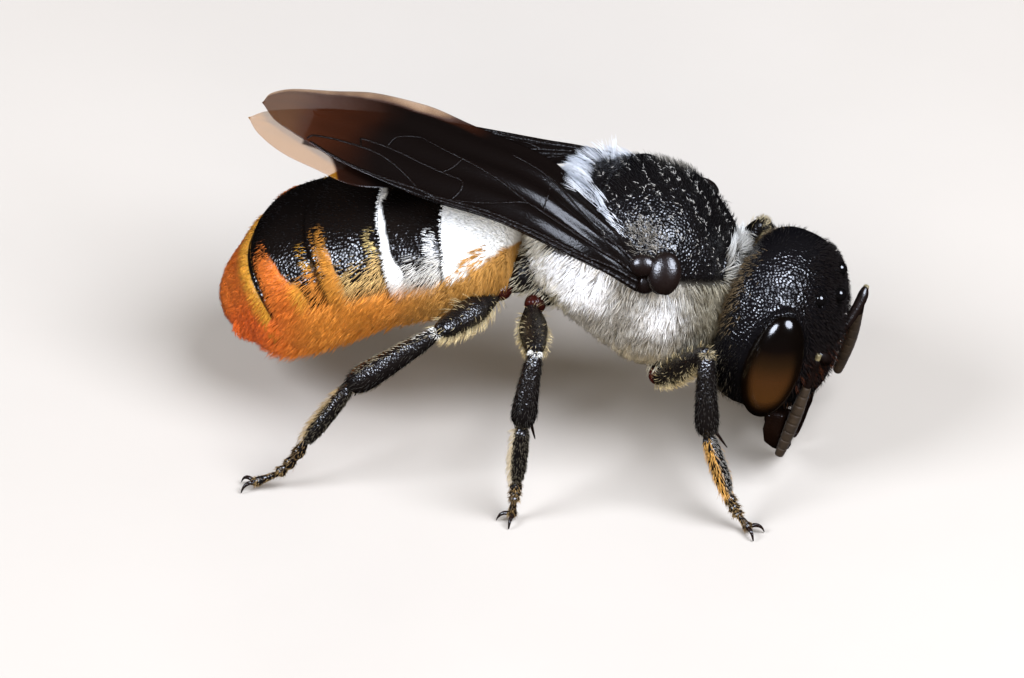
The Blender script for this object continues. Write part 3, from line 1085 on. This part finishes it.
PATCH = 0.003                   # width of a hair's own patch on the coat's map
ROOT_DEPTH = 0.02               # how far a hair starts under the skin
FLOOR_GAP = 0.01                # no hair comes nearer the floor than this
EDGE = 0.003                    # a root's narrowest step in from the ends of a surface and of the map


def scatter(surface, count, keep, seed, spare=12):
    """Hair roots spread over a surface as thickly as keep says: place, normal, station and angle.
    A narrow patch needs more spare tries, for most of them miss it."""
    rng = np.random.default_rng(seed)
    tries = spare * count
    station, angle = rng.uniform(EDGE, 0.996, tries), rng.uniform(-np.pi, np.pi, tries)
    step = 1e-3
    place = surface(station, angle)
    normal = np.cross(surface(station + step, angle) - place, surface(station, angle + step) - place)
    area = np.linalg.norm(normal, axis=1)
    normal /= area[:, None] + 1e-15
    if np.sum(normal * (place - place.mean(axis=0)) * area[:, None]) < 0:
        normal = -normal
    weight = area * np.clip(keep(place, station, angle), 0, None)
    chosen = rng.choice(tries, min(count, np.count_nonzero(weight)), replace=False, p=weight / weight.sum())
    return {"place": place[chosen], "normal": normal[chosen], "station": station[chosen],
            "angle": angle[chosen], "u": 0.5 + angle[chosen] / (2 * np.pi), "v": station[chosen]}


def grow(name, roots, lie, length, girth, colour, lift, spread=9, rings=2, locks=0, pull=0.5, seed=1,
         slot="hair_white"):
    """One piece of coat: a hair on each root, laid along lie and turned off it by spread degrees,
    rising by lift degrees at root and tip. rings is how many bends it may show, locks how many
    guide hairs the others lean to, and pull how far they lean."""
    rng = np.random.default_rng(seed)
    place, normal = roots["place"], roots["normal"]
    count = len(place)
    lie = np.broadcast_to(np.asarray(lie, dtype=float), (count, 3))
    lie = lie - normal * np.sum(lie * normal, axis=1, keepdims=True)
    lie = lie / (np.linalg.norm(lie, axis=1, keepdims=True) + 1e-9)
    turn = np.radians(rng.normal(0, spread, count))[:, None]
    lie = lie * np.cos(turn) + np.cross(normal, lie) * np.sin(turn)
    length = (length * rng.uniform(0.7, 1.12, count))[:, None]
    rises = [np.radians(degrees + rng.normal(0, 5, count))[:, None] for degrees in lift]
    first, last = (lie * np.cos(rise) + normal * np.sin(rise) for rise in rises)
    gather = np.zeros((count, 3))
    if locks:
        tips = place + length * (first + last) / 2
        guides = rng.choice(count, locks, replace=False)
        nearest = np.concatenate([
            np.argmin(((part[:, None, :] - place[guides][None]) ** 2).sum(axis=2), axis=1)
            for part in np.array_split(place, max(1, count // 500))])
        guide = guides[nearest]
        gather = pull * (tips[guide] + 0.25 * (place - place[guide]) - tips)
    shares = np.linspace(0, 1, rings + 1)
    corners = np.radians((90, 210, 330))
    points = np.empty((count, 3 * rings + 1, 3))
    for ring, t in enumerate(shares):
        centre = place - normal * ROOT_DEPTH + length * (first * t + (last - first) * t * t / 2) \
            + gather * t * t
        if ring == rings:
            points[:, -1] = centre
            break
        heading = first * (1 - t) + last * t
        sideways = np.cross(heading, normal + 0.01)
        sideways /= np.linalg.norm(sideways, axis=1, keepdims=True) + 1e-9
        over = np.cross(heading, sideways)
        radius = (girth * (1 - t) ** 0.6 * np.ones(count))[:, None]
        for corner, turned in enumerate(corners):
            out = sideways * np.cos(turned) + over * np.sin(turned)
            points[:, 3 * ring + corner] = centre + radius * out
    points[:, :, 2] = np.maximum(points[:, :, 2], FLOOR_GAP)
    faces = [(0, 2, 1)]
    for ring in range(rings - 1):
        for corner in range(3):
            a, b = 3 * ring + corner, 3 * ring + (corner + 1) % 3
            faces += [(a, b, b + 3), (a, b + 3, a + 3)]
    last_ring = 3 * (rings - 1)
    faces += [(last_ring, last_ring + 1, 3 * rings), (last_ring + 1, last_ring + 2, 3 * rings),
              (last_ring + 2, last_ring, 3 * rings)]
    per_hair = 3 * rings + 1
    corners_of = (np.arange(count)[:, None, None] * per_hair + np.array(faces)[None]).reshape(-1, 3)
    mesh = bpy.data.meshes.new(name)
    mesh.vertices.add(count * per_hair)
    mesh.vertices.foreach_set("co", set_down(points.reshape(-1, 3)).astype(np.float32).ravel())
    mesh.loops.add(corners_of.size)
    mesh.loops.foreach_set("vertex_index", corners_of.astype(np.int32).ravel())
    mesh.polygons.add(len(corners_of))
    mesh.polygons.foreach_set("loop_start", np.arange(0, corners_of.size, 3, dtype=np.int32))
    mesh.update(calc_edges=True)
    mesh.shade_smooth()
    # Each hair's patch lies at its root's place on an unwrap of the skin under it.
    patch_u = PATCH * (np.array([0, 0.5, 1] * rings + [0.5]) - 0.5)
    patch_v = PATCH * (np.repeat(shares, [3] * rings + [1]) - 0.5)
    root_u, root_v = (EDGE + (1 - 2 * EDGE) * roots[key][:, None] for key in ("u", "v"))
    unwrap = np.stack((root_u + patch_u, root_v + patch_v), -1)
    bake_map = mesh.uv_layers.new(name="OFBake")
    bake_map.data.foreach_set("uv", unwrap.reshape(-1, 2)[corners_of.ravel()].astype(np.float32).ravel())
    shade = rng.uniform(0.86, 1.06, count)[:, None, None]
    fade = (0.88 + 0.12 * np.repeat(shares, [3] * rings + [1]))[None, :, None]
    rows = np.broadcast_to(np.asarray(colour, dtype=float), (count, 3))[:, None, :] * shade * fade
    rows = np.concatenate((np.clip(rows, 0, 1), np.ones(rows.shape[:2] + (1,))), axis=2)
    tinted = mesh.color_attributes.new("hair_colour", "FLOAT_COLOR", "POINT")
    tinted.data.foreach_set("color", rows.astype(np.float32).ravel())
    mesh.materials.append(hair_finish)
    piece = bpy.data.objects.new(name, mesh)
    bpy.context.scene.collection.objects.link(piece)
    return settle(piece, slot)


# ---------------------------------------------------------------- coat of the thorax
# Dense white hair hangs down both flanks under the wings, cream towards the belly. The back has only
# short black and silver hairs, with a long white band behind it and a grey collar before it.

# Where the folded wings' front and inner edges cross the thorax, so that no hair grows under them.
wing_front_z = smooth_curve((-2.6, 5.95), (-0.92, 5.72), (0.3, 5.3), (1.0, 5.35), (2.0, 5.6))
wing_inner_y = {side: smooth_curve(*((spot[0], spot[1] * side) for spot in edge[3::-1]))
                for side, edge in ((1, LEFT_HIND), (-1, RIGHT_HIND))}

for side, side_name in ((1, "left"), (-1, "right")):
    def on_flank(spots, station, angle, side=side):
        """One side of the thorax, below its back and below the wing."""
        x, y, z = spots.T
        below = ramp(np.minimum(scutum_side(x) - 0.12, wing_front_z(x)) - z, 0.0, 0.15)
        return (side * y > -0.02) * below * ramp(x, 2.3, 1.9) * ramp(x, -2.45, -2.1)

    roots = scatter(thorax_surface, 8600, on_flank, 11 + side)
    x, y, z = roots["place"].T
    sweep = -0.45 + 0.3 * ramp(x, -1.0, 2.0) + 0.5 * ramp(x, 1.2, 2.2)
    lie = np.stack((sweep, 0.0 * x, -1 + 0 * x), axis=-1)
    length = 0.46 + 0.1 * ramp(z, 3.4, 5.0)
    patchy = 0.4 + 0.65 * ripple_of(roots["place"], 0.09)
    bright = flank_colour(roots["place"])
    colour = bright * (patchy + (1 - patchy) * ramp(bright.mean(axis=1), 0.6, 0.85))[:, None]
    grow("flank_coat_" + side_name, roots, lie, length, 0.013, colour, (34, 16), 15,
         rings=3, locks=500, pull=0.6, seed=21 + side)


def on_back(spots, station, angle):
    """The black back, between the lines where the flanks begin."""
    x, y, z = spots.T
    return ramp(z - scutum_side(x), -0.05, 0.1) * ramp(x, -2.2, -1.9) * ramp(x, 2.3, 2.1)


def silver_specks(spots, station, angle):
    """Silver hairs stand in small groups on the middle of the back."""
    x, y, z = spots.T
    middle_back = 0.02 + hill(x, 0.6, 0.5) * hill(y, -0.1, 0.65)
    return on_back(spots, station, angle) * middle_back * ramp(ripple_of(spots, 0.13), 0.66, 0.82)


roots = scatter(thorax_surface, 2800, on_back, 31)
grow("back_short_hair", roots, (-1, 0, 0.1), 0.17, 0.008, linear("#0d0a08")[:3], (62, 40), 25, seed=32,
     slot="cuticle_black")
roots = scatter(thorax_surface, 560, silver_specks, 33, 60)
grow("back_silver_hair", roots, (-1, 0, 0.1), 0.13, 0.012, linear("#aaa69e")[:3], (35, 10), 60, seed=34)


def by_wing_scale(spots, station, angle):
    """The hollow between the back's main plate and each wing scale."""
    x, y, z = spots.T
    return hill(x, 0.4, 0.3) * hill(np.abs(y), 1.5, 0.2) * ramp(z, 5.6, 5.9)


roots = scatter(thorax_surface, 460, by_wing_scale, 43, 120)
grow("hollow_tuft", roots, (-1, 0, 0.6), 0.26, 0.008,
     mix("#3a352c", "#a8a195", ripple_of(roots["place"], 0.1)), (60, 35), 30, rings=3, seed=44)


def behind_back(spots, station, angle):
    """Between the folded wings: along their inner edges, and across behind the back's main plate."""
    x, y, z = spots.T
    left_gap, right_gap = wing_inner_y[1](x) - y, y + wing_inner_y[-1](x)
    between = (left_gap > -0.05) * (right_gap > -0.05)
    width = 0.07 + 0.1 * ramp(x, 0.0, -1.0)
    edge = np.maximum(hill(left_gap, 0, width) * ramp(x, -0.5, -0.9),
                      hill(right_gap, 0, width) * ramp(x, 0.1, -0.2))
    behind = ramp(x + 0.25 * y, -1.15, -1.4)
    return np.maximum(edge, behind) * between * ramp(x, -2.35, -2.1) * ramp(z, 5.4, 5.7)


roots = scatter(thorax_surface, 1500, behind_back, 35, 120)
x, y, z = roots["place"].T
back = ramp(x, -0.4, -1.2)
lie = np.stack((-1 + 0 * x, -0.5 * np.sign(y) * (1 - back), 0.4 + 0.3 * back), axis=-1)
colour = mix("#979ca4", "#dcdee0", ripple_of(roots["place"], 0.14))
grow("scutellum_band", roots, lie, 0.24 + 0.42 * back, 0.009, colour, (44 + 22 * back, 22 + 22 * back), 14,
     rings=3, locks=170, pull=0.5, seed=36)


def round_collar(spots, station, angle):
    """The front edge of the thorax, where the neck enters."""
    x, y, z = spots.T
    return ramp(x, 1.95, 2.15) * ramp(z, 2.9, 3.6) * ramp(z, 5.8, 5.5)


roots = scatter(thorax_surface, 3400, round_collar, 37, 30)
x, y, z = roots["place"].T
top = ramp(z, 4.7, 5.4)
lie = np.stack((0.8 - 0.3 * top, 0.35 * np.sign(y) * (1 - top), -0.5 + 1.4 * top), axis=-1)
colour = mix("#7a725c", "#d0cfca", top) * (0.6 + 0.45 * ripple_of(roots["place"], 0.13))[:, None]
grow("collar_tuft", roots, lie, 0.38 + 0.28 * top, 0.010, colour, (58, 30), 14, rings=3, locks=260, pull=0.5,
     seed=38)


def over_waist(spots, station, angle):
    """The steep rear face of the thorax."""
    return ramp(spots[:, 0], -1.75, -2.1)


roots = scatter(thorax_surface, 1700, over_waist, 39, 30)
x, y, z = roots["place"].T
lie = np.stack((-0.7 + 0 * x, 0.5 * np.sign(y), -0.3 + 0 * x), axis=-1)
grow("waist_coat", roots, lie, 0.45, 0.014, mix("#a9a290", "#e3dfd3", ripple_of(roots["place"], 0.3)),
     (50, 25), 14, rings=3, locks=120, seed=40)

# ---------------------------------------------------------------- coat of the head
# Short upright dark hairs over crown and cheeks, ochre along the back edge, brown on the face and
# round the jaws, and longest in a black fringe between the feelers.


def in_head(spots):
    """Places as seen from the head's centre, in the head's own directions."""
    return (spots - HEAD_CENTRE) @ HEAD_TURN


def clear_of_eyes(spots):
    """1 on the capsule and 0 under the compound eyes."""
    local = in_head(spots)
    clear = np.ones(len(spots))
    for side in (1, -1):
        lift = local - np.array((EYE_CENTRE[0], side * EYE_CENTRE[1], EYE_CENTRE[2]))
        clear *= ramp(np.linalg.norm(lift @ eye_turn(side) / np.array(EYE_RADII), axis=-1), 1.02, 1.1)
    return clear


def dark_cap(spots, station, angle):
    """Crown, brow and cheeks."""
    forward, sideways, up = in_head(spots).T
    return clear_of_eyes(spots) * ramp(forward, -1.3, -0.9) * ramp(up, -1.9, -1.6)


def dark_face(spots, station, angle):
    """The face and brow, but not the bare skin round the three simple eyes."""
    forward, sideways, up = in_head(spots).T
    clear = clear_of_eyes(spots)
    for place in OCELLI:
        clear = clear * ramp(np.linalg.norm(in_head(spots) - np.array(place), axis=1), 0.2, 0.3)
    return clear * ramp(forward, 0.2, 0.7) * ramp(up, -0.9, -0.3)


roots = scatter(head_surface, 2200, dark_cap, 51)
grow("head_dark_hair", roots, HEAD_TURN @ (0.5, 0, -0.9), 0.14, 0.006, linear("#14100c")[:3], (70, 52), 25,
     seed=52, slot="cuticle_black")
roots = scatter(head_surface, 3000, dark_face, 57)
forward, sideways, up = in_head(roots["place"]).T
rusty = hill(up, -0.3, 0.45) * ramp(ripple_of(roots["place"], 0.07), 0.6, 0.85)
length = 0.17 + 0.12 * hill(up, 0.2, 0.6)
grow("face_dark_fringe", roots, HEAD_TURN @ (0.5, 0, -0.9), length, 0.009,
     mix("#120b08", "#5a2e16", rusty), (62, 40), 20, seed=58, slot="cuticle_black")


def pale_edge(spots, station, angle):
    """The capsule's back edge, the cheeks, and the face round jaws and feelers."""
    forward, sideways, up = in_head(spots).T
    nape = hill(forward, -1.05, 0.28) * ramp(up, 0.2, 0.9) * ramp(np.abs(sideways), 0.35, 0.6)
    by_feelers = 0.25 * hill(up, -0.45, 0.3) * hill(np.abs(sideways), 0.75, 0.3)
    face = ramp(forward, 0.7, 1.0) * (hill(up, -1.55, 0.3) + by_feelers)
    cheek = 0.3 * ramp(-forward, 0.4, 0.9) * ramp(up, 0.4, -0.6) * ramp(up, -2.0, -1.6)
    return clear_of_eyes(spots) * (nape + face + cheek)


roots = scatter(head_surface, 1900, pale_edge, 53, 30)
forward, sideways, up = in_head(roots["place"]).T
colour = mix(mix("#5c5444", "#5e4e36", ramp(up, 0.0, 0.6)), "#3d2816", ramp(forward, 0.3, 0.8))
grow("head_pale_hair", roots, HEAD_TURN @ (0.1, 0, -1), 0.2, 0.008, colour, (45, 25), 20, seed=54,
     slot="cuticle_black")

# ---------------------------------------------------------------- coat of the abdomen
# Flat hair bands mark the plates: white in front, gold, then orange-red at the tail. Under the belly
# stands the long brush that carries pollen, pale ginger in front and orange-red behind.


def rearward(spots, fall):
    """Along the abdomen's drooping axis towards the tail, falling by a share at the sides."""
    x, y, z = spots.T
    slope = np.arctan((axis_z(x + 0.2) - axis_z(x - 0.2)) / 0.4)
    return np.stack((-np.cos(slope), 0.15 * y, -np.sin(slope) - fall), axis=-1)


PLATE_HAIRS = {1: 8800, 2: 5200, 3: 4600, 4: 4800, 5: 6800, 6: 3600}
FURRED = 5                      # the first of the plates that are furred all over
for number, count in PLATE_HAIRS.items():
    def on_plate(spots, station, angle, number=number):
        """The bands, a thin scatter between them, and nothing beneath or behind the rims."""
        cover, colour = plate_coat(number, spots, station, angle)
        above_brush = ramp(-np.sin(angle), 0.4, 0.2)
        return (cover + 0.06) * above_brush * ramp(station, 0.06, 0.1) * ramp(station, 0.985, 0.96)

    roots = scatter(tergite(number), count, on_plate, 60 + number)
    cover, colour = plate_coat(number, roots["place"], roots["station"], roots["angle"])
    low = ramp(-np.sin(roots["angle"]), -0.68, -0.3)
    bare = ramp(cover, 0.2, 0.1)
    length = (0.28 if number >= FURRED else 0.2 + 0.2 * low) * (1 - 0.35 * bare)
    if number < FURRED:
        length = length * (1 - 0.5 * ramp(roots["station"], 0.8, 0.93))
    thin = ramp(cover, 0.6, 0.3) * (number < FURRED)
    patchy = 0.68 - 0.3 * thin + (0.36 + 0.4 * thin) * ripple_of(roots["place"], 0.06)
    stray = np.random.default_rng(90 + number).uniform(size=len(bare)) < 0.5 * ramp(low, 0.0, 0.3)
    colour = mix(colour, mix("#0d0a08", colour, 0.6 * stray), bare)
    length = length * (1 + 0.7 * bare * stray)
    colour = colour * (patchy + (1 - patchy) * ramp(colour.mean(axis=1), 0.6, 0.9))[:, None]
    grow("plate_coat_%d" % number, roots, rearward(roots["place"], 0.9 * low), length,
         0.012 - 0.003 * thin - 0.002 * bare, colour, (22 + 8 * low + 14 * bare, 6 + 8 * low + 10 * bare), 8,
         seed=70 + number, slot="hair_orange" if number >= FURRED else "hair_white")


def belly_surface(station, angle):
    """The abdomen's underside from waist to tail, a hair's breadth inside the plates."""
    x = -3.35 - 6.5 * station
    return abdomen_point(x, 0.995 + 0 * x, angle)


for side, side_name in ((1, "left"), (-1, "right")):
    def on_belly(spots, station, angle, side=side):
        """One side of the brush, which reaches higher up in front and ends at the tail's tip."""
        x, low = spots[:, 0], -np.sin(angle)
        top = BRUSH_TOP - 0.6 * ramp(x, -4.6, -3.4)
        return (side * spots[:, 1] > -0.01) * ramp(low, top - 0.05, top + 0.1) * ramp(x, -9.65, -9.35)

    roots = scatter(belly_surface, 8200, on_belly, 80 + side)
    x, y, z = roots["place"].T
    under = ramp(-np.sin(roots["angle"]), 0.1, 0.7)
    tail = ramp(x, -8.3, -9.3)
    length = (0.42 + (0.38 - 0.4 * ramp(x, -8.0, -9.3)) * under) * (1 - 0.2 * tail)
    colour = belly_colour(x) * (0.68 + 0.42 * ripple_of(roots["place"], 0.08))[:, None]
    grow("belly_brush_" + side_name, roots, rearward(roots["place"], 0.6 + 1.6 * tail), length, 0.013, colour,
         (44 - 8 * tail, 24 - 8 * tail), 9, rings=3, locks=700, pull=0.45, seed=84 + side,
         slot="hair_orange")

# ---------------------------------------------------------------- coat of the legs
# Short silver-gold hairs point down each segment. White rings mark the middle and hind knees, a white
# line the hind shin's upper edge; cream fringes hang under the thighs, gold bristles comb the feet.

LEG_HAIRS = {"coxa": 420, "femur": 560, "tibia": 780, "basitarsus": 700, "toe_0": 110, "toe_1": 100,
             "toe_2": 90, "toe_3": 130}
for pair in LEGS:
    for side, side_name in ((1, "left"), (-1, "right")):
        tag = pair + "_" + side_name
        at = leg_joints(pair, side)
        bones = {"coxa": ("hip", "trochanter"), "femur": ("trochanter", "knee"), "tibia": ("knee", "shin"),
                 "basitarsus": ("shin", "heel")}
        parts = []
        for strip, (segment, count) in enumerate(LEG_HAIRS.items()):
            start, end = bones.get(segment, ("heel", "toe"))
            axis = (at[end] - at[start]) / np.linalg.norm(at[end] - at[start])

            def on_segment(spots, station, angle, segment=segment, axis=axis, root=at[start]):
                off = (spots - root) - np.outer((spots - root) @ axis, axis)
                under = -off[:, 2] / (np.linalg.norm(off, axis=1) + 1e-9)
                if segment == "femur":
                    return 0.08 + ramp(under, 0.1, 0.7)
                if segment == "tibia":
                    return 0.35 + 0.5 * np.abs(under) ** 3 + 4 * ramp(station, 0.12, 0.09)
                return 1 + 0 * station

            roots = scatter(leg_skins[segment, tag], count, on_segment, 100 + strip)
            t = roots["station"]
            high = roots["normal"][:, 2]
            if segment == "coxa":
                colour, length = mix("#b5ab90", "#e3dcc6", ripple_of(roots["place"], 0.2)), 0.3 + 0 * t
            elif segment == "femur":
                colour = mix("#8f7a50", "#e0cc9c", ripple_of(roots["place"], 0.15))
                length = (0.38 if pair == "hind" else 0.27) + 0 * t
            elif segment == "tibia":
                knee = 0.0 * t if pair == "fore" else ramp(t, 0.12, 0.09)
                colour = mix(mix("#2a2621", "#9c8f72", ramp(np.abs(high), 0.6, 0.95)), "#f1eee4", knee)
                if pair == "hind":
                    colour = mix(colour, "#f1eee4", ramp(high, 0.84, 0.97))
                length = 0.15 - 0.05 * knee
            elif segment == "basitarsus":
                gold = {"fore": "#cf9a4c", "mid": "#dccaa6", "hind": "#b59a6c"}[pair]
                edge = ramp(np.abs(np.cos(roots["angle"])), 0.7, 0.95)
                if pair != "fore":
                    edge = ramp(-roots["normal"][:, 0], 0.5, 0.85)
                velvet = "#8c8880" if pair == "fore" else "#4a4438"
                colour, length = mix(velvet, gold, edge), 0.12 + 0.2 * edge
            else:
                colour, length = mix("#4a3a28", "#9a7c4c", ripple_of(roots["place"], 0.12)), 0.13 + 0 * t
            rise = (56 if segment == "femur" else 36) + 0 * t
            parts.append((roots, np.broadcast_to(axis, roots["place"].shape), length, colour, strip, rise))
        strips = len(LEG_HAIRS)
        merged = {key: np.concatenate([part[0][key] for part in parts]) for key in ("place", "normal", "u")}
        merged["v"] = np.concatenate([(part[4] + 0.05 + 0.9 * part[0]["v"]) / strips for part in parts])
        rise = np.concatenate([part[5] for part in parts])
        grow("leg_coat_" + tag, merged, np.concatenate([part[1] for part in parts]),
             np.concatenate([part[2] for part in parts]), 0.008, np.concatenate([part[3] for part in parts]),
             (rise, 0.5 * rise), 10, seed=120, slot="leg_black")
